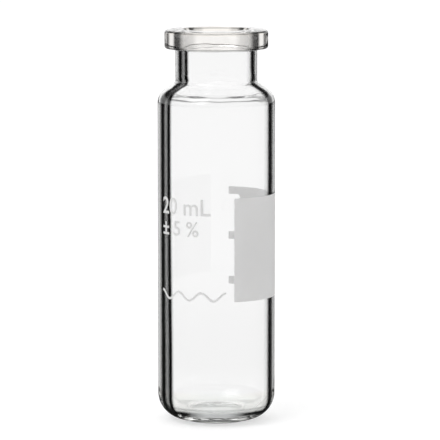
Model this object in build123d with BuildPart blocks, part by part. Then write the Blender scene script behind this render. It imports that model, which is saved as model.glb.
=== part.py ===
from build123d import *
import os
from math import asin, cos, degrees, radians, tan

# Crimp-neck headspace vial of clear tubing glass, 20 mL, with a fired white enamel
# write-on panel. Millimetres, +Z up. The origin is on the vial's axis, on the surface
# that it stands on. The front of the vial faces -Y and +X is at its right.
#
# The vessel is one length of glass tube, spun and blown to shape, so it is one solid.
# Its wall is a closed section revolved about the axis: up the outside from the hollow
# under the base to the crimp flange, over the lip, and down the inside to the floor.

# ---- driving dimensions, glass ----
vial_height = 75.5           # table to lip
body_radius = 11.25
body_wall = 1.05
base_thickness = 1.5         # floor and heel
punt_height = 0.45           # hollow under the base
stand_ring_radius = 5.4      # middle of the flat ring that the vial stands on
stand_ring_width = 0.8
stand_ring_edge_radius = 0.3
heel_slope = 15.0            # degrees; the base rises from the ring to the heel
heel_radius = 5.0
heel_inner_radius = 4.0
floor_ring_radius = 3.0      # soft bend where the floor turns up into the heel

bore_radius = 6.3            # mouth and neck
neck_wall = 1.52
neck_length = 6.45           # flange underside to shoulder
shoulder_slope = 35.5        # degrees below the horizontal
shoulder_wall = 1.2
shoulder_radius = 3.0
shoulder_inner_radius = 2.2
neck_root_radius = 0.8
neck_inner_radius = 1.2

flange_overhang = 2.08       # flange beyond the neck
flange_height = 3.45         # its outer band
flange_corner_radius = 0.5
flange_root_radius = 0.35
lip_rise = 0.25              # lip above the flange's outer band
lip_land_width = 1.1         # flat of the lip, from the bore outwards
lip_edge_radius = 0.45       # mouth's inner edge
lip_outer_radius = 1.0       # where the lip falls away to the flange

# ---- driving dimensions, enamel panel ----
enamel_thickness = 0.04
panel_start_angle = 17.6     # degrees round from the front, towards +X
panel_end_angle = 154.5
panel_bottom = 24.3          # above the table
panel_height = 19.8
tab_angle = 12.5             # degrees that a tab reaches past the panel's far edge
tab_height = 1.5
tab_edge_inset = 0.6         # bottom tab's lower edge above the panel's lower edge

FRONT = -90.0                # direction of the vial's front, in degrees from +X


def limited(radius, run, corner_angle):
    """The fillet radius, or as much of it as fits on a straight run beside the corner."""
    return min(radius, run / tan(radians(corner_angle / 2)))


# ---- places that follow from them ----
neck_radius = bore_radius + neck_wall
flange_radius = neck_radius + flange_overhang
body_bore_radius = body_radius - body_wall

ring_inner_radius = stand_ring_radius - stand_ring_width / 2
ring_outer_radius = stand_ring_radius + stand_ring_width / 2
punt_arc_radius = (ring_inner_radius**2 + punt_height**2) / (2 * punt_height)

heel_rise = tan(radians(heel_slope))
heel_corner_height = (body_radius - ring_outer_radius) * heel_rise
floor_height = base_thickness / cos(radians(heel_slope))
floor_centre_height = base_thickness + punt_height
floor_arc_rise = floor_centre_height - floor_height
floor_arc_radius = (ring_outer_radius**2 + floor_arc_rise**2) / (2 * floor_arc_rise)
heel_inner_height = floor_height + (body_bore_radius - ring_outer_radius) * heel_rise

flange_top = vial_height - lip_rise
flange_underside = flange_top - flange_height
shoulder_top = flange_underside - neck_length
shoulder_fall = tan(radians(shoulder_slope))
shoulder_corner_height = shoulder_top - (body_radius - neck_radius) * shoulder_fall
shoulder_drop = shoulder_wall / cos(radians(shoulder_slope))
inner_shoulder_top = shoulder_top - shoulder_drop + neck_wall * shoulder_fall
inner_corner_height = inner_shoulder_top - (body_bore_radius - bore_radius) * shoulder_fall

# Where two fillets meet on one straight run they share it, and each is held to its share.
sole_share = 0.95            # of a run that no other fillet needs
larger_share = 0.7
smaller_share = 0.25
even_share = 0.45

heel_turn = 90 - heel_slope
shoulder_turn = 90 - shoulder_slope
floor_turn = heel_slope + degrees(asin(ring_outer_radius / floor_arc_radius))
heel_run = (body_radius - ring_outer_radius) / cos(radians(heel_slope))
inner_heel_run = (body_bore_radius - ring_outer_radius) / cos(radians(heel_slope))
shoulder_run = (body_radius - neck_radius) / cos(radians(shoulder_slope))
inner_shoulder_run = (body_bore_radius - bore_radius) / cos(radians(shoulder_slope))

outside_points = [
    (ring_outer_radius, 0),
    (body_radius, heel_corner_height),
    (body_radius, shoulder_corner_height),
    (neck_radius, shoulder_top),
    (neck_radius, flange_underside),
    (flange_radius, flange_underside),
    (flange_radius, flange_top),
    (bore_radius + lip_land_width, vial_height),
    (bore_radius, vial_height),
    (bore_radius, inner_shoulder_top),
    (body_bore_radius, inner_corner_height),
    (body_bore_radius, heel_inner_height),
    (ring_outer_radius, floor_height),
]
outside_radii = [
    limited(heel_radius, heel_run * sole_share, heel_turn),
    limited(shoulder_radius, shoulder_run * larger_share, shoulder_turn),
    limited(neck_root_radius, shoulder_run * smaller_share, shoulder_turn),
    limited(flange_root_radius, flange_overhang * even_share, 90),
    limited(flange_corner_radius, flange_overhang * even_share, 90),
    flange_corner_radius,
    lip_outer_radius,
    limited(lip_edge_radius, lip_land_width * even_share, 90),
    limited(neck_inner_radius, inner_shoulder_run * smaller_share, shoulder_turn),
    limited(shoulder_inner_radius, inner_shoulder_run * larger_share, shoulder_turn),
    limited(heel_inner_radius, inner_heel_run * larger_share, heel_turn),
]
floor_bend_radius = limited(floor_ring_radius, inner_heel_run * smaller_share, floor_turn)

# ---- the glass vessel ----
with BuildPart() as vial_glass:
    with BuildSketch(Plane.XZ) as wall_section:
        with BuildLine():
            RadiusArc((0, punt_height), (ring_inner_radius, 0), punt_arc_radius)
            Line((ring_inner_radius, 0), (ring_outer_radius, 0))
            FilletPolyline(*outside_points, radius=outside_radii)
            floor_edge = (ring_outer_radius, floor_height)
            RadiusArc(floor_edge, (0, floor_centre_height), -floor_arc_radius)
            Line((0, floor_centre_height), (0, punt_height))
        make_face()
        ring_corners = wall_section.vertices().group_by(Axis.Y)[0]
        fillet(ring_corners, stand_ring_edge_radius)
        floor_bend = wall_section.vertices().sort_by_distance(floor_edge)[0]
        fillet(floor_bend, floor_bend_radius)
    revolve(axis=Axis.Z)
vial_glass.part.label = "vial_glass"


# ---- the enamel write-on panel, with three tabs at its far edge ----
panel_top = panel_bottom + panel_height
lowest_tab = panel_bottom + tab_edge_inset
highest_tab = panel_top - tab_height
middle_tab = (lowest_tab + highest_tab) / 2
tab_end_angle = panel_end_angle + tab_angle

# Each stretch of enamel: its lower edge, its height, and the angles where it starts and ends.
stretches = [(panel_bottom, panel_height, panel_start_angle, panel_end_angle)]
for tab_bottom in (lowest_tab, middle_tab, highest_tab):
    stretches.append((tab_bottom, tab_height, panel_end_angle - tab_angle, tab_end_angle))

with BuildPart() as write_on_panel:
    for lower_edge, height, start_angle, end_angle in stretches:
        with BuildSketch(Plane.XY.offset(lower_edge)):
            with BuildLine():
                start = FRONT + start_angle
                sweep = end_angle - start_angle
                on_glass = CenterArc((0, 0), body_radius, start, sweep)
                face = CenterArc((0, 0), body_radius + enamel_thickness, start, sweep)
                Line(on_glass @ 0, face @ 0)
                Line(on_glass @ 1, face @ 1)
            make_face()
        extrude(amount=height)
write_on_panel.part.label = "write_on_panel"

os.makedirs("parts", exist_ok=True)
for piece in (vial_glass, write_on_panel):
    export_step(piece.part, f"parts/{piece.part.label}.step")
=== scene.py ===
import math

import bmesh
import bpy
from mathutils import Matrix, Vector


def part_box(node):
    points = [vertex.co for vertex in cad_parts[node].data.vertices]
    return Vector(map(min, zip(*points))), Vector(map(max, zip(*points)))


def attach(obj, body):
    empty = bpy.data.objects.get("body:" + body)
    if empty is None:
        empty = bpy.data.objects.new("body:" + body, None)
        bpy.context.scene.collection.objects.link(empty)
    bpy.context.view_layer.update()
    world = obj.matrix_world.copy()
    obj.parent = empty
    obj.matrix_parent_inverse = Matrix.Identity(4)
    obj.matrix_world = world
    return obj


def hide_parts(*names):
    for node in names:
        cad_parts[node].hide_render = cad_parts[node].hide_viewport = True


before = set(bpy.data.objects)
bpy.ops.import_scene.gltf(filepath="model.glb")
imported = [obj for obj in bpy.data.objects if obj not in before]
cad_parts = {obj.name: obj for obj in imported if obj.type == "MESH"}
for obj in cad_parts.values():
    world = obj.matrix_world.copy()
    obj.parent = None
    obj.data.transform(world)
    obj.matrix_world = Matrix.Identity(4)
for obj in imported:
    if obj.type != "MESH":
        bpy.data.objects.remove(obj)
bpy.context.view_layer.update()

# A crimp-neck headspace vial of clear tubing glass with white fired print, standing on
# a pale table. The scene is in metres, +Z up, and the front of the vial faces -Y. Sizes of
# the glass and the print are in millimetres, as their maker's drawing gives them, and MM
# turns them into metres.
MM = 0.001

# ---------------------------------------------------------------------------
# Sizes
# ---------------------------------------------------------------------------
_, glass_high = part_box("vial_glass")
panel_low, panel_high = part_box("write_on_panel")

# The glass. A slope is an angle up from level, and a bend is the radius of a corner.
BODY_RADIUS = glass_high.y / MM
BODY_BORE_RADIUS = 10.2
HEIGHT = glass_high.z / MM
BASE_THICKNESS = 1.5
FLOOR_BEND = 30.0
FLOOR_EDGE_BEND = 3.0
PUNT_HEIGHT = 0.45           # hollow under the base
PUNT_BEND = 25.0
STAND_RING_INNER = 5.0       # flat ring that the vial stands on
STAND_RING_OUTER = 5.8
STAND_RING_BEND = 0.3
HEEL_SLOPE = math.radians(15)
HEEL_BEND = 5.0
INNER_HEEL_BEND = 4.0
SHOULDER_SLOPE = math.radians(35.5)
SHOULDER_WALL = 1.2
SHOULDER_BEND = 3.0
INNER_SHOULDER_BEND = 2.2
NECK_RADIUS = 7.82
NECK_LENGTH = 6.45
NECK_ROOT_BEND = 0.8
INNER_NECK_BEND = 1.2
BORE_RADIUS = 6.3
FLANGE_RADIUS = 9.9
FLANGE_HEIGHT = 3.45
FLANGE_ROOT_BEND = 0.35
FLANGE_CORNER_BEND = 0.5
LIP_RISE = 0.25
LIP_LAND_WIDTH = 1.1         # flat of the lip
LIP_OUTER_BEND = 1.0
LIP_EDGE_BEND = 0.45
FLANGE_TOP = HEIGHT - LIP_RISE
FLANGE_UNDERSIDE = FLANGE_TOP - FLANGE_HEIGHT
SHOULDER_TOP = FLANGE_UNDERSIDE - NECK_LENGTH

BEND_STEPS = 12
STEPS_ROUND = 160
WELD_DISTANCE = 0.0001

# The print: a coat of enamel, and the place of each mark. Angles are in degrees round from
# the front towards +X, heights are above the table.
ENAMEL_GAP = 0.004
ENAMEL_THICKNESS = 0.04
PRINT_STRIP = 0.35           # width of the strips that the flat print is cut in, to bend it
PRINT_WELD_DISTANCE = 0.0005
PRINT_SHARP_EDGE = math.radians(40)
PRINT_CORNER_STEPS = 5

PANEL_START_ANGLE = 17.6
PANEL_END_ANGLE = 154.5
PANEL_CORNER_BEND = 0.15
TAB_ANGLE = 12.5
TAB_HEIGHT = 1.5
TAB_EDGE_INSET = 0.6
TAB_ROOT_BEND = 0.45
LOWEST_TAB_ROOT_BEND = 0.1   # less room is left below the lowest tab

LEVEL_LINE_START_ANGLE = -64.2
LEVEL_LINE_WAVES = 3
LEVEL_LINE_WAVE_ANGLE = 24.6
LEVEL_LINE_WAVE_STEPS = 24
LEVEL_LINE_HEIGHT = 25.3
LEVEL_LINE_SWING = 0.75
LEVEL_LINE_STROKE = 0.42

LETTERING_START_ANGLE = -64.0
LETTERING_WEIGHT = 0.05      # how far the strokes are fattened on each side
LETTERING_CURVE_STEPS = 6
FIGURE_SHARE = 0.73          # height of a figure as a share of the type's size


# ---------------------------------------------------------------------------
# Node helpers
# ---------------------------------------------------------------------------
def add_node(tree, kind, inputs=None, **settings):
    """A node of that kind, with its settings, and its inputs set by name or number."""
    node = tree.nodes.new(kind)
    for name, value in settings.items():
        setattr(node, name, value)
    for key, value in (inputs or {}).items():
        if isinstance(value, bpy.types.NodeSocket):
            tree.links.new(value, node.inputs[key])
        else:
            node.inputs[key].default_value = value
    return node


def maths(tree, operation, a, b=0.0, c=0.0):
    """The output of a Math node."""
    return add_node(tree, "ShaderNodeMath", {0: a, 1: b, 2: c}, operation=operation).outputs[0]


def geometry_tree(name, sockets):
    """A Geometry Nodes tree with a geometry in and out, and the named inputs."""
    tree = bpy.data.node_groups.new(name, "GeometryNodeTree")
    tree.interface.new_socket("Geometry", in_out="INPUT", socket_type="NodeSocketGeometry")
    tree.interface.new_socket("Geometry", in_out="OUTPUT", socket_type="NodeSocketGeometry")
    for socket_name, kind in sockets:
        tree.interface.new_socket(socket_name, in_out="INPUT", socket_type=kind)
    start = tree.nodes.new("NodeGroupInput")
    end = tree.nodes.new("NodeGroupOutput")
    return tree, start.outputs, end.inputs


def bake_tree(source, tree, values, piece_name):
    """Runs the tree on the source object and returns the result as a plain mesh object."""
    modifier = source.modifiers.new(tree.name, "NODES")
    modifier.node_group = tree
    for item in tree.interface.items_tree:
        if item.in_out == "INPUT" and item.name in values:
            modifier[item.identifier] = values[item.name]
    bpy.context.view_layer.update()
    evaluated = source.evaluated_get(bpy.context.evaluated_depsgraph_get())
    mesh = bpy.data.meshes.new_from_object(evaluated)
    mesh.name = piece_name
    mesh.materials.clear()
    mesh.materials.append(values["Material"])
    mesh.polygons.foreach_set("material_index", [0] * len(mesh.polygons))
    bpy.data.objects.remove(source)
    piece = bpy.data.objects.new(piece_name, mesh)
    bpy.context.scene.collection.objects.link(piece)
    return piece


# ---------------------------------------------------------------------------
# Materials
# ---------------------------------------------------------------------------
def new_material(name):
    """A node material; returns it with its tree and its Principled shader."""
    material = bpy.data.materials.new(name)
    material.use_nodes = True
    return material, material.node_tree, material.node_tree.nodes["Principled BSDF"]


def grey(tone):
    """An even grey, as a colour."""
    return (tone, tone, tone, 1)


WHITE = grey(1)
BLACK = grey(0)


def colour_ramp(tree, value, stops):
    """The colour that the stops, (place, colour), give for a value."""
    node = add_node(tree, "ShaderNodeValToRGB", {"Fac": value})
    elements = node.color_ramp.elements
    elements.remove(elements[1])
    for i, (place, colour) in enumerate(stops):
        element = elements.new(place) if i else elements[0]
        element.position = place
        element.color = colour
    return node.outputs["Color"]


def unevenness_group():
    """A node group that each material uses: noise from -1 to 1, centred on 0."""
    group = bpy.data.node_groups.new("unevenness", "ShaderNodeTree")
    group.interface.new_socket("Point", in_out="INPUT", socket_type="NodeSocketVector")
    group.interface.new_socket("Pitch", in_out="INPUT", socket_type="NodeSocketVector")
    group.interface.new_socket("Detail", in_out="INPUT", socket_type="NodeSocketFloat")
    group.interface.new_socket("Unevenness", in_out="OUTPUT", socket_type="NodeSocketFloat")
    given = group.nodes.new("NodeGroupInput").outputs
    made = group.nodes.new("NodeGroupOutput").inputs
    place = add_node(
        group, "ShaderNodeMapping", {"Vector": given["Point"], "Scale": given["Pitch"]}
    )
    noise = add_node(
        group,
        "ShaderNodeTexNoise",
        {"Vector": place.outputs[0], "Scale": 1.0, "Detail": given["Detail"], "Roughness": 0.5},
    )
    centred = maths(group, "MULTIPLY_ADD", noise.outputs["Fac"], 2.0, c=-1.0)
    group.links.new(centred, made["Unevenness"])
    return group


UNEVENNESS = unevenness_group()
SMOOTH = 1.0
CLOUDY = 3.0


def unevenness(tree, point, pitch, detail):
    """Places the group. Pitch is how often it changes in a metre along X, Y and Z."""
    inputs = {"Point": point, "Pitch": pitch, "Detail": detail}
    return add_node(tree, "ShaderNodeGroup", inputs, node_tree=UNEVENNESS).outputs[0]


def smooth_step(tree, value, start, end):
    """0 at the start, 1 at the end, and smooth in between."""
    node = add_node(
        tree,
        "ShaderNodeMapRange",
        {"Value": value, "From Min": start, "From Max": end},
        interpolation_type="SMOOTHSTEP",
    )
    return node.outputs["Result"]


def fade_in(tree, place, ends):
    """0 at the first of two places in millimetres, and 1 at the second."""
    return smooth_step(tree, place, ends[0] * MM, ends[1] * MM)


def stretch_of(tree, place, first_end, other_end):
    """1 along a stretch, and 0 past the place where it fades at each end."""
    first = fade_in(tree, place, first_end)
    return maths(tree, "MULTIPLY", first, fade_in(tree, place, other_end))


def blend_colours(tree, amount, first, second):
    """The first colour where the amount is 0 and the second where it is 1."""
    node = add_node(tree, "ShaderNodeMix", {0: amount, 6: first, 7: second}, data_type="RGBA")
    return node.outputs[2]


def multiply_colours(tree, first, second):
    """The two colours multiplied."""
    inputs = {0: 1.0, 6: first, 7: second}
    node = add_node(tree, "ShaderNodeMix", inputs, data_type="RGBA", blend_type="MULTIPLY")
    return node.outputs[2]


# Painted shade: dark lines painted into the glass's colour where the camera sees a tube's edge,
# standing in for the light that a tube loses along its wall near its edge. Each stop is how far
# across the tube the view enters, 0 in the middle and 1 at the edge, and how much of the colour
# is kept. The painted lines are wider on the vial's -X side; the wall itself is even all round.
WIDE_PAINTED_EDGE = [
    (0.755, 1.0),
    (0.772, 0.72),
    (0.790, 0.08),
    (0.800, 0.0),
    (0.828, 0.0),
    (0.848, 0.20),
    (0.864, 0.29),
    (0.880, 0.15),
    (0.894, 0.0),
    (0.936, 0.0),
    (0.950, 0.25),
    (0.967, 0.60),
    (0.983, 1.0),
]
NARROW_PAINTED_EDGE = [
    (0.805, 1.0),
    (0.845, 0.84),
    (0.864, 0.72),
    (0.881, 0.30),
    (0.893, 0.05),
    (0.906, 0.0),
    (0.932, 0.0),
    (0.939, 0.05),
    (0.957, 0.18),
    (0.974, 0.75),
    (0.985, 0.45),
    (0.996, 1.0),
]
# Painted shade on the flange, read across the tube as the wall lines are.
FLANGE_PAINTED_EDGE = [
    (0.36, 1.0),
    (0.47, 0.76),
    (0.63, 0.62),
    (0.67, 0.44),
    (0.70, 0.20),
    (0.73, 0.09),
    (0.79, 0.07),
    (0.812, 0.14),
    (0.83, 0.70),
    (0.85, 1.0),
    (0.895, 1.0),
    (0.915, 0.50),
    (0.93, 0.17),
    (0.95, 0.22),
    (0.965, 0.60),
    (0.985, 0.95),
]
# Painted shade: dark arcs painted round the heel, seen by the camera only, where light is lost
# in the heel. Here each stop is how far the surface has turned under, 0 where the wall is
# upright and 1 where it faces the table.
HEEL_PAINTED_ARCS = [
    (0.20, 1.0),
    (0.33, 0.93),
    (0.38, 0.62),
    (0.41, 0.50),
    (0.44, 0.76),
    (0.49, 0.50),
    (0.54, 0.03),
    (0.64, 0.0),
    (0.69, 0.40),
    (0.77, 1.0),
]
# Painted shade: the lip and the flange's top corner are painted a little darker where they turn
# up, seen by the camera only. Here each stop is how far the surface faces up.
LIP_PAINTED_SHADE = [
    (0.10, 1.0),
    (0.30, 0.58),
    (0.60, 0.58),
    (0.85, 1.0),
]
# Hues painted with the shade lines, seen by the camera only.
TUBE_HUE = (1.0, 1.0, 1.0)
FLANGE_HUE = (1.0, 0.98, 0.955)
HEEL_HUE = (1.0, 0.99, 0.97)
LIP_HUE = (1.0, 0.985, 0.96)
# The first wall's grey is seen by the camera only and is darker on the lower body; the base's tint
# is on every wall.
CLEAR = grey(0.86)
CLEAR_LOW = grey(0.78)
CLEAR_BASE = (0.955, 0.975, 0.97, 1)

# Painted shade: these widen the painted lines on the neck and near the base, and fade the heel's
# painted arcs in the middle.
NECK_CROWDING = 0.72         # the neck's wall is thicker for its width: its lines are broader
BASE_CROWDING = 0.89         # so is the thick wall near the base
HEEL_AT_FRONT = 0.65         # the heel's arcs are fainter in the middle of the vial

# Each of these gives where an effect is nothing, and then where it is full: first places
# in millimetres, then shares across the tube and of how far the surface faces up or down.
# Painted shade: the painted wall lines are wide below this stretch of X and narrow above it.
NARROW_EDGE_SIDE = (-3, 3)
NECK = (SHOULDER_TOP - 2, SHOULDER_TOP)
FLANGE_BAND = (FLANGE_UNDERSIDE - 0.1, FLANGE_UNDERSIDE)
LIP_TURN = (FLANGE_TOP - 0.7, FLANGE_TOP - 0.5)
NECK_ROOT_FROM_BELOW = (SHOULDER_TOP - 3.5, SHOULDER_TOP - 1)
NECK_ROOT_FROM_ABOVE = (SHOULDER_TOP + 3, SHOULDER_TOP + 0.5)
DRAWN_FROM_BELOW = (5, 9)
DRAWN_FROM_ABOVE = (SHOULDER_TOP, 58)
TOWARDS_BASE = (55, 5)
LOW_BODY_FROM_ABOVE = (36, 15)
LOW_BODY_FROM_BELOW = (6, 13)
HEEL_TURN = (7, 6)
BASE = (4, 2)
HEEL_SIDE = (0.15, 0.55)
UPRIGHT = (0.95, 0.86)

# How uneven the glass is, and how often that changes in a metre along X, Y and Z. The drift
# and the ripple only make the painted shade lines wander; the draw lines and flame waves are bumps.
WALL_DRIFT_PITCH = (60, 60, 25)
WALL_DRIFT = 0.003
ROOT_RIPPLE_PITCH = (420, 420, 650)
ROOT_RIPPLE = 0.05
DRAW_LINE_PITCH = (500, 500, 12)
DRAW_LINE = 0.08
FLAME_WAVE_PITCH = (230, 230, 300)
GLASS_BUMP_STRENGTH = 0.5
GLASS_BUMP_HEIGHT = 0.1


def across_the_tube(tree):
    """How far across an upright tube the light enters: 0 in the middle and 1 at the edge."""
    upward = add_node(tree, "ShaderNodeCombineXYZ", {"Z": 1.0}).outputs[0]
    outward = add_node(tree, "ShaderNodeNewGeometry").outputs["Normal"]
    round_it = add_node(
        tree, "ShaderNodeVectorMath", {0: upward, 1: outward}, operation="CROSS_PRODUCT"
    )
    unit = add_node(tree, "ShaderNodeVectorMath", {0: round_it.outputs[0]}, operation="NORMALIZE")
    shares = []
    for direction in (unit.outputs[0], upward):
        weight = add_node(tree, "ShaderNodeLayerWeight", {"Blend": 0.5, "Normal": direction})
        shares.append(maths(tree, "SUBTRACT", 1.0, weight.outputs["Facing"]))
    sideways, steep = shares
    level = maths(tree, "SQRT", maths(tree, "SUBTRACT", 1.0, maths(tree, "MULTIPLY", steep, steep)))
    return maths(tree, "DIVIDE", sideways, level)


def painted_edge_tint(tree, value, stops, hue):
    """The painted tint that keeps what the stops say. It is squared, because the shader
    takes the square root of its colour at each surface that light goes through."""
    tints = [(at, (*((left * part) ** 2 for part in hue), 1)) for at, left in stops]
    return colour_ramp(tree, value, tints)


def broadened(tree, from_edge, crowding):
    """How far across the lines are read: the less the crowding, the broader they are."""
    return maths(tree, "SUBTRACT", 1.0, maths(tree, "MULTIPLY", from_edge, crowding))


def painted_wall_lines(tree, point, place, across):
    """Painted shade: dark lines along the upright walls of the body, the neck and the flange."""
    drift = unevenness(tree, point, WALL_DRIFT_PITCH, SMOOTH)
    drifted = maths(tree, "MULTIPLY_ADD", drift, WALL_DRIFT, c=across)
    ripples = unevenness(tree, point, ROOT_RIPPLE_PITCH, SMOOTH)
    neck_root = stretch_of(tree, place["Z"], NECK_ROOT_FROM_BELOW, NECK_ROOT_FROM_ABOVE)
    root_ripples = maths(tree, "MULTIPLY", ripples, neck_root)
    uneven = maths(tree, "MULTIPLY_ADD", root_ripples, ROOT_RIPPLE, c=drifted)
    from_edge = maths(tree, "SUBTRACT", 1.0, uneven)

    neck = fade_in(tree, place["Z"], NECK)
    narrow_edge_crowding = maths(tree, "MULTIPLY_ADD", neck, NECK_CROWDING - 1, c=1.0)
    low = fade_in(tree, place["Z"], TOWARDS_BASE)
    wide_edge_crowding = maths(tree, "MULTIPLY_ADD", low, BASE_CROWDING - 1, c=narrow_edge_crowding)
    wide_edge = painted_edge_tint(tree, broadened(tree, from_edge, wide_edge_crowding), WIDE_PAINTED_EDGE, TUBE_HUE)
    narrow_edge = painted_edge_tint(tree, broadened(tree, from_edge, narrow_edge_crowding), NARROW_PAINTED_EDGE, TUBE_HUE)
    tube = blend_colours(tree, fade_in(tree, place["X"], NARROW_EDGE_SIDE), wide_edge, narrow_edge)
    flange = painted_edge_tint(tree, across, FLANGE_PAINTED_EDGE, FLANGE_HUE)
    return blend_colours(tree, fade_in(tree, place["Z"], FLANGE_BAND), tube, flange)


def clear_tint(tree, height, first_wall):
    """The glass's grey where the camera sees the first wall above the base, darker on the lower
    body, and a faint tint on each wall in the base.
    """
    low_body = stretch_of(tree, height, LOW_BODY_FROM_ABOVE, LOW_BODY_FROM_BELOW)
    body = blend_colours(tree, low_body, CLEAR, CLEAR_LOW)
    above_base = blend_colours(tree, first_wall, WHITE, body)
    return blend_colours(tree, fade_in(tree, height, BASE), above_base, CLEAR_BASE)


def glass_relief(tree, point, height):
    """The normal of glass with fine lines along the drawn tube and waves where it was worked."""
    draw_lines = unevenness(tree, point, DRAW_LINE_PITCH, SMOOTH)
    flame_waves = unevenness(tree, point, FLAME_WAVE_PITCH, SMOOTH)
    drawn = stretch_of(tree, height, DRAWN_FROM_BELOW, DRAWN_FROM_ABOVE)
    worked = maths(tree, "SUBTRACT", 1.0, drawn)
    waves = maths(tree, "MULTIPLY", flame_waves, worked)
    relief = maths(tree, "MULTIPLY_ADD", draw_lines, DRAW_LINE, c=waves)
    bump = add_node(
        tree,
        "ShaderNodeBump",
        {"Height": relief, "Strength": GLASS_BUMP_STRENGTH, "Distance": GLASS_BUMP_HEIGHT * MM},
    )
    return bump.outputs["Normal"]


def clear_glass_material():
    """Clear borosilicate tubing glass, drawn along the body and flame-worked at its ends. Its
    colour carries painted shade: dark lines at its edges, heel and lip, seen by the camera only.
    """
    material, tree, shader = new_material("drawn_glass")
    coordinates = add_node(tree, "ShaderNodeTexCoord").outputs
    point = coordinates["Object"]
    place = add_node(tree, "ShaderNodeSeparateXYZ", {0: point}).outputs
    lean = add_node(tree, "ShaderNodeSeparateXYZ", {0: coordinates["Normal"]}).outputs["Z"]
    under = maths(tree, "MULTIPLY", lean, -1)
    across = across_the_tube(tree)
    first_wall = add_node(tree, "ShaderNodeLightPath").outputs["Is Camera Ray"]

    upright = smooth_step(tree, maths(tree, "ABSOLUTE", lean), *UPRIGHT)
    to_the_side = smooth_step(tree, across, *HEEL_SIDE)
    strength = maths(tree, "MULTIPLY_ADD", to_the_side, 1 - HEEL_AT_FRONT, c=HEEL_AT_FRONT)
    in_heel = maths(tree, "MULTIPLY", strength, fade_in(tree, place["Z"], HEEL_TURN))
    at_lip = fade_in(tree, place["Z"], LIP_TURN)
    tint = clear_tint(tree, place["Z"], first_wall)
    # Painted shade: each mark darkens the glass's colour where the camera sees it, by where the
    # surface stands and how it faces the camera.
    for where, lines in (
        (upright, painted_wall_lines(tree, point, place, across)),
        (in_heel, painted_edge_tint(tree, under, HEEL_PAINTED_ARCS, HEEL_HUE)),
        (at_lip, painted_edge_tint(tree, lean, LIP_PAINTED_SHADE, LIP_HUE)),
    ):
        shown = maths(tree, "MULTIPLY", first_wall, where)
        tint = multiply_colours(tree, tint, blend_colours(tree, shown, WHITE, lines))
    tree.links.new(tint, shader.inputs["Base Color"])
    tree.links.new(glass_relief(tree, point, place["Z"]), shader.inputs["Normal"])
    shader.inputs["Roughness"].default_value = 0.0
    shader.inputs["IOR"].default_value = 1.5
    shader.inputs["Metallic"].default_value = 0.0
    shader.inputs["Transmission Weight"].default_value = 1.0
    return material


ENAMEL_CLOUD_PITCH = (300, 300, 300)
SCREEN_GRAIN_PITCH = (9000, 9000, 9000)
ENAMEL_TONE_SHARE = 0.25     # of the cloud, and of the grain, in the enamel's tone
ENAMEL_DARK = (0.865, 0.85, 0.84, 1)
ENAMEL_LIGHT = (0.92, 0.905, 0.895, 1)
ENAMEL_ROUGHNESS = 0.42
ENAMEL_ROUGHNESS_CHANGE = 0.12
ENAMEL_BUMP_STRENGTH = 0.2
ENAMEL_BUMP_HEIGHT = 0.02
ENAMEL_DEPTH = 0.2           # how far light wanders inside the enamel


def white_enamel_material():
    """White screen-printed enamel, fired on: slightly matt, with the faint grain of its screen."""
    material, tree, shader = new_material("fired_enamel")
    point = add_node(tree, "ShaderNodeTexCoord").outputs["Object"]
    cloud = unevenness(tree, point, ENAMEL_CLOUD_PITCH, CLOUDY)
    grain = unevenness(tree, point, SCREEN_GRAIN_PITCH, SMOOTH)
    grained = maths(tree, "MULTIPLY_ADD", grain, ENAMEL_TONE_SHARE, c=0.5)
    tone = maths(tree, "MULTIPLY_ADD", cloud, ENAMEL_TONE_SHARE, c=grained)
    colour = colour_ramp(tree, tone, [(0.0, ENAMEL_DARK), (1.0, ENAMEL_LIGHT)])
    tree.links.new(colour, shader.inputs["Base Color"])
    roughness = maths(tree, "MULTIPLY_ADD", tone, ENAMEL_ROUGHNESS_CHANGE, c=ENAMEL_ROUGHNESS)
    tree.links.new(roughness, shader.inputs["Roughness"])
    bump = add_node(
        tree,
        "ShaderNodeBump",
        {"Height": grain, "Strength": ENAMEL_BUMP_STRENGTH, "Distance": ENAMEL_BUMP_HEIGHT * MM},
    )
    tree.links.new(bump.outputs["Normal"], shader.inputs["Normal"])
    shader.inputs["Subsurface Weight"].default_value = 1.0
    shader.inputs["Subsurface Radius"].default_value = (1.0, 1.0, 1.0)
    shader.inputs["Subsurface Scale"].default_value = ENAMEL_DEPTH * MM
    return material


def reflected_ray(tree, path):
    """1 for a ray that has just been mirrored, 0 for one that has just come through glass."""
    return maths(tree, "GREATER_THAN", path["Is Glossy Ray"], path["Is Transmission Ray"])


TABLE_MOTTLE_PITCH = (40, 40, 40)
TABLE_MOTTLE = 0.01
TABLE_TONE = 0.6
TABLE_THROUGH_GLASS = 0.15   # glass shows less of the table's shadow
TABLE_MIRRORED = 0.05        # dim to mirrored rays, so that the base's edges read dark
TABLE_WHITE = 1.04


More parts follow.
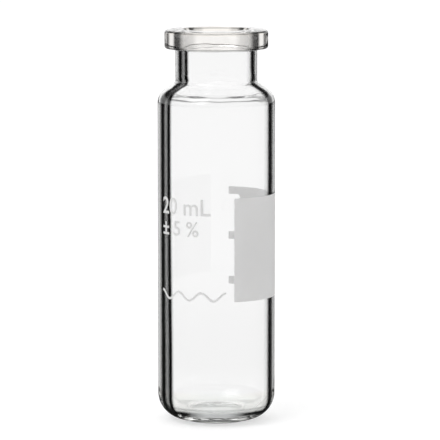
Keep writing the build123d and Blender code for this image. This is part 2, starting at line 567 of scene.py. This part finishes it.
def table_material():
    """Pale matt table top. It reads as white where no shadow falls, and keeps the shadow."""
    material, tree, shader = new_material("pale_table")
    point = add_node(tree, "ShaderNodeTexCoord").outputs["Object"]
    mottle = unevenness(tree, point, TABLE_MOTTLE_PITCH, CLOUDY)
    share = maths(tree, "MULTIPLY_ADD", mottle, 0.5, c=0.5)
    ends = [(0.0, grey(TABLE_TONE - TABLE_MOTTLE)), (1.0, grey(TABLE_TONE + TABLE_MOTTLE))]
    path = add_node(tree, "ShaderNodeLightPath").outputs
    through = path["Is Transmission Ray"]
    lit = blend_colours(tree, through, colour_ramp(tree, share, ends), grey(TABLE_THROUGH_GLASS))
    colour = blend_colours(tree, reflected_ray(tree, path), lit, grey(TABLE_MIRRORED))
    tree.links.new(colour, shader.inputs["Base Color"])
    direct = blend_colours(tree, path["Is Camera Ray"], BLACK, grey(TABLE_WHITE - TABLE_TONE))
    lift = blend_colours(tree, through, direct, grey(TABLE_WHITE - TABLE_THROUGH_GLASS))
    tree.links.new(lift, shader.inputs["Emission Color"])
    shader.inputs["Emission Strength"].default_value = 1.0
    shader.inputs["Roughness"].default_value = 0.9
    shader.inputs["Specular IOR Level"].default_value = 0.0
    return material


CLEAR_GLASS = clear_glass_material()
WHITE_ENAMEL = white_enamel_material()


# ---------------------------------------------------------------------------
# The glass vessel: a section turned about the axis
# ---------------------------------------------------------------------------
def turned_tree():
    """Rounds each corner of a section curve and turns it about Z. The section lies in XZ."""
    tree, given, made = geometry_tree(
        "turned_glass",
        [
            ("Corner Steps", "NodeSocketInt"),
            ("Steps Round", "NodeSocketInt"),
            ("Weld Distance", "NodeSocketFloat"),
            ("Material", "NodeSocketMaterial"),
        ],
    )
    corner_radius = add_node(
        tree, "GeometryNodeInputNamedAttribute", {"Name": "corner_radius"}, data_type="FLOAT"
    )
    section = add_node(tree, "GeometryNodeMeshToCurve", {"Mesh": given["Geometry"]})
    rounded = add_node(
        tree,
        "GeometryNodeFilletCurve",
        {
            "Curve": section.outputs["Curve"],
            "Count": given["Corner Steps"],
            "Radius": corner_radius.outputs["Attribute"],
            "Limit Radius": False,
        },
        mode="POLY",
    )
    count = add_node(
        tree,
        "GeometryNodeAttributeDomainSize",
        {"Geometry": rounded.outputs["Curve"]},
        component="CURVE",
    )
    columns = maths(tree, "ADD", given["Steps Round"], 1)
    grid = add_node(
        tree,
        "GeometryNodeMeshGrid",
        {"Vertices X": columns, "Vertices Y": count.outputs["Point Count"]},
    )
    index = add_node(tree, "GeometryNodeInputIndex").outputs[0]
    column = maths(tree, "FLOOR", maths(tree, "DIVIDE", index, count.outputs["Point Count"]))
    before = maths(tree, "MULTIPLY", column, count.outputs["Point Count"])
    row = maths(tree, "SUBTRACT", index, before)
    here = add_node(tree, "GeometryNodeInputPosition").outputs[0]
    section_point = add_node(
        tree,
        "GeometryNodeSampleIndex",
        {"Geometry": rounded.outputs["Curve"], "Value": here, "Index": row},
        data_type="FLOAT_VECTOR",
        domain="POINT",
    )
    apart = add_node(tree, "ShaderNodeSeparateXYZ", {0: section_point.outputs["Value"]}).outputs
    turn = maths(tree, "MULTIPLY", maths(tree, "DIVIDE", column, given["Steps Round"]), math.tau)
    place = add_node(
        tree,
        "ShaderNodeCombineXYZ",
        {
            "X": maths(tree, "MULTIPLY", apart["X"], maths(tree, "COSINE", turn)),
            "Y": maths(tree, "MULTIPLY", apart["X"], maths(tree, "SINE", turn)),
            "Z": apart["Z"],
        },
    )
    placed = add_node(
        tree,
        "GeometryNodeSetPosition",
        {"Geometry": grid.outputs["Mesh"], "Position": place.outputs[0]},
    )
    welded = add_node(
        tree,
        "GeometryNodeMergeByDistance",
        {"Geometry": placed.outputs[0], "Distance": given["Weld Distance"]},
    )
    smooth = add_node(tree, "GeometryNodeSetShadeSmooth", {"Geometry": welded.outputs[0]})
    real = add_node(tree, "GeometryNodeRealizeInstances", {"Geometry": smooth.outputs[0]})
    finished = add_node(
        tree,
        "GeometryNodeSetMaterial",
        {"Geometry": real.outputs[0], "Material": given["Material"]},
    )
    tree.links.new(finished.outputs[0], made["Geometry"])
    return tree


def section_mesh(corners):
    """The section as a mesh line that carries each corner's radius, for the tree to round."""
    mesh = bpy.data.meshes.new("wall_section")
    points = [(radius * MM, 0, height * MM) for radius, height, _ in corners]
    mesh.from_pydata(points, [(i, i + 1) for i in range(len(points) - 1)], [])
    attribute = mesh.attributes.new("corner_radius", "FLOAT", "POINT")
    attribute.data.foreach_set("value", [corner * MM for _, _, corner in corners])
    source = bpy.data.objects.new("wall_section", mesh)
    bpy.context.scene.collection.objects.link(source)
    return source


def wall_section():
    """The corners of the wall's section, (radius, height, bend): from the middle of the base
    up the outside, over the lip and down the inside to the middle of the floor."""
    rise = math.tan(HEEL_SLOPE)
    fall = math.tan(SHOULDER_SLOPE)
    floor = BASE_THICKNESS / math.cos(HEEL_SLOPE)
    floor_middle = BASE_THICKNESS + PUNT_HEIGHT
    drop = SHOULDER_WALL / math.cos(SHOULDER_SLOPE)
    heel = (BODY_RADIUS - STAND_RING_OUTER) * rise
    inner_heel = floor + (BODY_BORE_RADIUS - STAND_RING_OUTER) * rise
    shoulder = SHOULDER_TOP - (BODY_RADIUS - NECK_RADIUS) * fall
    inner_neck = SHOULDER_TOP - drop + (NECK_RADIUS - BORE_RADIUS) * fall
    inner_shoulder = inner_neck - (BODY_BORE_RADIUS - BORE_RADIUS) * fall
    # The walls are straight from just past each bend, where a corner without one stands.
    heel_end = heel + 4.4
    shoulder_start = shoulder - 2.0
    mouth_end = HEIGHT - 0.8
    neck_start = inner_neck + 1.0
    inner_shoulder_end = inner_shoulder - 1.6
    inner_heel_start = inner_heel + 3.4
    return [
        (0, PUNT_HEIGHT, 0),
        (STAND_RING_INNER / 2, PUNT_HEIGHT, PUNT_BEND),
        (STAND_RING_INNER, 0, STAND_RING_BEND),
        (STAND_RING_OUTER, 0, STAND_RING_BEND),
        (BODY_RADIUS, heel, HEEL_BEND),
        (BODY_RADIUS, heel_end, 0),
        (BODY_RADIUS, shoulder_start, 0),
        (BODY_RADIUS, shoulder, SHOULDER_BEND),
        (NECK_RADIUS, SHOULDER_TOP, NECK_ROOT_BEND),
        (NECK_RADIUS, FLANGE_UNDERSIDE, FLANGE_ROOT_BEND),
        (FLANGE_RADIUS, FLANGE_UNDERSIDE, FLANGE_CORNER_BEND),
        (FLANGE_RADIUS, FLANGE_TOP, FLANGE_CORNER_BEND),
        (BORE_RADIUS + LIP_LAND_WIDTH, HEIGHT, LIP_OUTER_BEND),
        (BORE_RADIUS, HEIGHT, LIP_EDGE_BEND),
        (BORE_RADIUS, mouth_end, 0),
        (BORE_RADIUS, neck_start, 0),
        (BORE_RADIUS, inner_neck, INNER_NECK_BEND),
        (BODY_BORE_RADIUS, inner_shoulder, INNER_SHOULDER_BEND),
        (BODY_BORE_RADIUS, inner_shoulder_end, 0),
        (BODY_BORE_RADIUS, inner_heel_start, 0),
        (BODY_BORE_RADIUS, inner_heel, INNER_HEEL_BEND),
        (STAND_RING_OUTER, floor, FLOOR_EDGE_BEND),
        (STAND_RING_OUTER / 2, floor_middle, FLOOR_BEND),
        (0, floor_middle, 0),
    ]


def glass_vessel():
    """The whole vessel in one piece, turned from the section of its wall."""
    piece = bake_tree(
        section_mesh(wall_section()),
        turned_tree(),
        {
            "Corner Steps": BEND_STEPS,
            "Steps Round": STEPS_ROUND,
            "Weld Distance": WELD_DISTANCE * MM,
            "Material": CLEAR_GLASS,
        },
        "turned_vessel",
    )
    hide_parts("vial_glass")
    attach(piece, "root")


glass_vessel()


# ---------------------------------------------------------------------------
# Print: flat outlines, cut in narrow strips and wrapped on the body
# ---------------------------------------------------------------------------
def wrapped_tree():
    """Thickens a flat print and bends it round the body: x runs round it and y up it."""
    tree, given, made = geometry_tree(
        "wrapped_print",
        [
            ("Body Radius", "NodeSocketFloat"),
            ("Gap", "NodeSocketFloat"),
            ("Thickness", "NodeSocketFloat"),
            ("Weld Distance", "NodeSocketFloat"),
            ("Material", "NodeSocketMaterial"),
        ],
    )
    outer = add_node(
        tree,
        "GeometryNodeExtrudeMesh",
        {"Mesh": given["Geometry"], "Offset Scale": given["Thickness"], "Individual": False},
        mode="FACES",
    )
    inner = add_node(tree, "GeometryNodeFlipFaces", {"Mesh": given["Geometry"]})
    both = add_node(tree, "GeometryNodeJoinGeometry")
    tree.links.new(outer.outputs["Mesh"], both.inputs[0])
    tree.links.new(inner.outputs["Mesh"], both.inputs[0])
    closed = add_node(
        tree,
        "GeometryNodeMergeByDistance",
        {"Geometry": both.outputs[0], "Distance": given["Weld Distance"]},
    )
    here = add_node(tree, "GeometryNodeInputPosition").outputs[0]
    flat = add_node(tree, "ShaderNodeSeparateXYZ", {0: here}).outputs
    turn = maths(tree, "DIVIDE", flat["X"], given["Body Radius"])
    reach = maths(tree, "ADD", maths(tree, "ADD", given["Body Radius"], given["Gap"]), flat["Z"])
    forward = maths(tree, "MULTIPLY", reach, maths(tree, "COSINE", turn))
    place = add_node(
        tree,
        "ShaderNodeCombineXYZ",
        {
            "X": maths(tree, "MULTIPLY", reach, maths(tree, "SINE", turn)),
            "Y": maths(tree, "MULTIPLY", forward, -1),
            "Z": flat["Y"],
        },
    )
    bent = add_node(
        tree,
        "GeometryNodeSetPosition",
        {"Geometry": closed.outputs[0], "Position": place.outputs[0]},
    )
    smooth = add_node(tree, "GeometryNodeSetShadeSmooth", {"Geometry": bent.outputs[0]})
    edge_angle = add_node(tree, "GeometryNodeInputMeshEdgeAngle").outputs["Unsigned Angle"]
    sharp = add_node(tree, "FunctionNodeCompare", {"A": edge_angle, "B": PRINT_SHARP_EDGE})
    edged = add_node(
        tree,
        "GeometryNodeSetShadeSmooth",
        {
            "Geometry": smooth.outputs[0],
            "Selection": sharp.outputs["Result"],
            "Shade Smooth": False,
        },
        domain="EDGE",
    )
    real = add_node(tree, "GeometryNodeRealizeInstances", {"Geometry": edged.outputs[0]})
    finished = add_node(
        tree,
        "GeometryNodeSetMaterial",
        {"Geometry": real.outputs[0], "Material": given["Material"]},
    )
    tree.links.new(finished.outputs[0], made["Geometry"])
    return tree


WRAPPED_PRINT = wrapped_tree()


def round_the_body(angle):
    """How far round the body an angle from the front is, in millimetres."""
    return math.radians(angle) * BODY_RADIUS


def filled_outline(name, loop):
    """A flat mesh filled inside a closed loop of points, in millimetres."""
    data = bpy.data.curves.new(name, "CURVE")
    data.dimensions = "2D"
    data.fill_mode = "BOTH"
    spline = data.splines.new("POLY")
    spline.points.add(len(loop) - 1)
    for point, (x, y) in zip(spline.points, loop):
        point.co = (x, y, 0, 1)
    spline.use_cyclic_u = True
    outline = bpy.data.objects.new(name, data)
    bpy.context.scene.collection.objects.link(outline)
    return flat_mesh(outline)


def flat_mesh(outline):
    """The filled curve or text as a mesh; the curve is removed."""
    bpy.context.view_layer.update()
    evaluated = outline.evaluated_get(bpy.context.evaluated_depsgraph_get())
    mesh = bpy.data.meshes.new_from_object(evaluated)
    bpy.data.objects.remove(outline)
    return mesh


def cut_in_strips(form):
    """Cuts a flat print across into narrow strips, so that it can bend round the body."""
    left = min(vertex.co.x for vertex in form.verts)
    right = max(vertex.co.x for vertex in form.verts)
    strips = math.ceil((right - left) / (PRINT_STRIP * MM))
    for i in range(1, strips):
        cut_at = left + (right - left) * i / strips
        parts = form.verts[:] + form.edges[:] + form.faces[:]
        bmesh.ops.bisect_plane(form, geom=parts, plane_co=(cut_at, 0, 0), plane_no=(1, 0, 0))


def fire_on(name, mesh, x, y):
    """Makes a printed piece from a flat mesh in millimetres: x round the body and y up it."""
    form = bmesh.new()
    form.from_mesh(mesh)
    bmesh.ops.remove_doubles(form, verts=form.verts, dist=PRINT_WELD_DISTANCE)
    for vertex in form.verts:
        vertex.co = Vector((vertex.co.x + x, vertex.co.y + y, 0)) * MM
    cut_in_strips(form)
    for face in form.faces:
        if face.normal.z < 0:
            face.normal_flip()
    form.to_mesh(mesh)
    form.free()
    source = bpy.data.objects.new(name + "_flat", mesh)
    bpy.context.scene.collection.objects.link(source)
    piece = bake_tree(
        source,
        WRAPPED_PRINT,
        {
            "Body Radius": BODY_RADIUS * MM,
            "Gap": ENAMEL_GAP * MM,
            "Thickness": (ENAMEL_THICKNESS - ENAMEL_GAP) * MM,
            "Weld Distance": WELD_DISTANCE * MM,
            "Material": WHITE_ENAMEL,
        },
        name,
    )
    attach(piece, "root")
    return piece


def rounded_loop(corners):
    """Points of a closed outline whose square corners, (x, y, bend), are rounded."""
    loop = []
    for i, (x, y, bend) in enumerate(corners):
        corner = Vector((x, y))
        before = (Vector(corners[i - 1][:2]) - corner).normalized()
        after = (Vector(corners[(i + 1) % len(corners)][:2]) - corner).normalized()
        start = corner + before * bend
        end = corner + after * bend
        centre = corner + (before + after) * bend
        for k in range(PRINT_CORNER_STEPS + 1):
            swing = math.pi / 2 * k / PRINT_CORNER_STEPS
            from_start = centre + (start - centre) * math.cos(swing)
            loop.append(tuple(from_start + (end - centre) * math.sin(swing)))
    return loop


def write_on_panel():
    """The panel to write on, with three tabs at its far edge."""
    low, high = panel_low.z / MM, panel_high.z / MM
    left = round_the_body(PANEL_START_ANGLE)
    right = round_the_body(PANEL_END_ANGLE)
    tab_end = round_the_body(PANEL_END_ANGLE + TAB_ANGLE)
    lowest = low + TAB_EDGE_INSET
    highest = high - TAB_HEIGHT
    middle = (lowest + highest) / 2
    corners = [(left, low, PANEL_CORNER_BEND), (right, low, PANEL_CORNER_BEND)]
    for bottom in (lowest, middle, highest):
        top = bottom + TAB_HEIGHT
        corners.append((right, bottom, TAB_ROOT_BEND if bottom > lowest else LOWEST_TAB_ROOT_BEND))
        corners.append((tab_end, bottom, PANEL_CORNER_BEND))
        corners.append((tab_end, top, PANEL_CORNER_BEND))
        if bottom < highest:
            corners.append((right, top, TAB_ROOT_BEND))
    corners.append((left, high, PANEL_CORNER_BEND))
    return fire_on("printed_panel", filled_outline("panel_outline", rounded_loop(corners)), 0, 0)


def level_line():
    """A wavy line that marks the level to fill to."""
    wave_length = round_the_body(LEVEL_LINE_WAVE_ANGLE)
    upper = []
    lower = []
    for i in range(LEVEL_LINE_WAVES * LEVEL_LINE_WAVE_STEPS + 1):
        phase = math.tau * i / LEVEL_LINE_WAVE_STEPS
        along = wave_length * i / LEVEL_LINE_WAVE_STEPS
        slope = -LEVEL_LINE_SWING * math.sin(phase) * math.tau / wave_length
        across = Vector((-slope, 1)).normalized() * LEVEL_LINE_STROKE / 2
        middle = Vector((along, LEVEL_LINE_SWING * math.cos(phase)))
        upper.append(tuple(middle + across))
        lower.append(tuple(middle - across))
    outline = filled_outline("level_outline", lower + upper[::-1])
    fire_on("level_line", outline, round_the_body(LEVEL_LINE_START_ANGLE), LEVEL_LINE_HEIGHT)


def lettering(name, words, height, base):
    """A line of plain lettering; height is that of its figures."""
    data = bpy.data.curves.new(name, "FONT")
    data.body = words
    data.size = height / FIGURE_SHARE
    data.resolution_u = LETTERING_CURVE_STEPS
    data.offset = LETTERING_WEIGHT
    text = bpy.data.objects.new(name + "_text", data)
    bpy.context.scene.collection.objects.link(text)
    fire_on(name, flat_mesh(text), round_the_body(LETTERING_START_ANGLE), base)


panel = write_on_panel()
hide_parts("write_on_panel")
level_line()
lettering("capacity_mark", "20 mL", height=3.3, base=40.8)
lettering("tolerance_mark", "\u00b1 5 %", height=2.9, base=36.8)


# ---------------------------------------------------------------------------
# Stage, light and camera
# ---------------------------------------------------------------------------
TABLE_HALF_WIDTH = 4.0
WORLD_FRONT = 0.92
WORLD_BACK = 1.25
FROM_BEHIND = (0.0, 0.9)     # how far towards the back the world starts and ends growing brighter
KEY_LIGHT_PLACE = (-0.5, -0.5, 0.9)
KEY_LIGHT_SIZE = 0.6
KEY_LIGHT_POWER = 3.0
CAMERA_PLACE = (0.0007, -0.630, 0.117)
CAMERA_AIM = (0.0007, 0, 0.0387)
CAMERA_LENS = 270
CAMERA_SENSOR = 36

# What a ray meets in the studio, by how far up it goes: 0 is level and 1 is straight up.
BACKDROP = [
    (0.15, WHITE),
    (0.20, grey(0.12)),
    (0.34, grey(0.02)),
    (0.42, grey(0.20)),
    (0.50, WHITE),
]
CEILING = [
    (0.28, WHITE),
    (0.36, grey(0.08)),
    (0.55, grey(0.08)),
    (0.70, WHITE),
]


def table_top():
    """The table that the vial stands on."""
    half = TABLE_HALF_WIDTH
    mesh = bpy.data.meshes.new("table_top")
    corners = [(-half, -half, 0), (half, -half, 0), (half, half, 0), (-half, half, 0)]
    mesh.from_pydata(corners, [], [(0, 1, 2, 3)])
    mesh.materials.append(table_material())
    table = bpy.data.objects.new("table_top", mesh)
    bpy.context.scene.collection.objects.link(table)


def studio_world():
    """A plain light world, a little brighter from behind, that is white to look at. Glass
    also shows a dark gap over the backdrop, and mirrors a dark band of the ceiling."""
    world = bpy.data.worlds.new("studio")
    bpy.context.scene.world = world
    world.use_nodes = True
    tree = world.node_tree
    direction = add_node(tree, "ShaderNodeTexCoord").outputs["Generated"]
    towards = add_node(tree, "ShaderNodeSeparateXYZ", {0: direction}).outputs
    backdrop = colour_ramp(tree, towards["Z"], BACKDROP)
    ceiling = colour_ramp(tree, towards["Z"], CEILING)
    path = add_node(tree, "ShaderNodeLightPath").outputs
    lighting = maths(tree, "GREATER_THAN", path["Diffuse Depth"], 0.5)
    seen_through = maths(tree, "SUBTRACT", path["Is Transmission Ray"], lighting)
    mirrored = maths(tree, "SUBTRACT", reflected_ray(tree, path), lighting)
    direct = blend_colours(tree, mirrored, WHITE, ceiling)
    seen = blend_colours(tree, seen_through, direct, backdrop)
    from_behind = smooth_step(tree, towards["Y"], *FROM_BEHIND)
    light = blend_colours(tree, from_behind, grey(WORLD_FRONT), grey(WORLD_BACK))
    colour = blend_colours(tree, path["Is Diffuse Ray"], seen, light)
    tree.links.new(colour, tree.nodes["Background"].inputs["Color"])


def soft_light(name, place, target, size, power):
    """A large square lamp that points at the target."""
    data = bpy.data.lights.new(name, "AREA")
    data.shape = "SQUARE"
    data.size = size
    data.energy = power
    lamp = bpy.data.objects.new(name, data)
    bpy.context.scene.collection.objects.link(lamp)
    lamp.location = place
    lamp.rotation_euler = (target - lamp.location).to_track_quat("-Z", "Y").to_euler()


def front_camera():
    """A long lens that looks a little down on the front of the vial."""
    data = bpy.data.cameras.new("camera")
    data.sensor_width = CAMERA_SENSOR
    data.lens = CAMERA_LENS
    camera = bpy.data.objects.new("camera", data)
    bpy.context.scene.collection.objects.link(camera)
    camera.location = CAMERA_PLACE
    aim = Vector(CAMERA_AIM)
    camera.rotation_euler = (aim - camera.location).to_track_quat("-Z", "Y").to_euler()
    bpy.context.scene.camera = camera


def allow_bounces():
    """Light that runs along the wall inside the glass is mirrored many times on its way out."""
    cycles = bpy.context.scene.cycles
    cycles.max_bounces = 32
    cycles.glossy_bounces = 24
    cycles.transmission_bounces = 32


table_top()
studio_world()
middle = Vector((0, 0, HEIGHT * MM / 2))
soft_light("key_light", KEY_LIGHT_PLACE, middle, KEY_LIGHT_SIZE, KEY_LIGHT_POWER)
front_camera()
allow_bounces()
bpy.context.scene.view_settings.view_transform = "Standard"
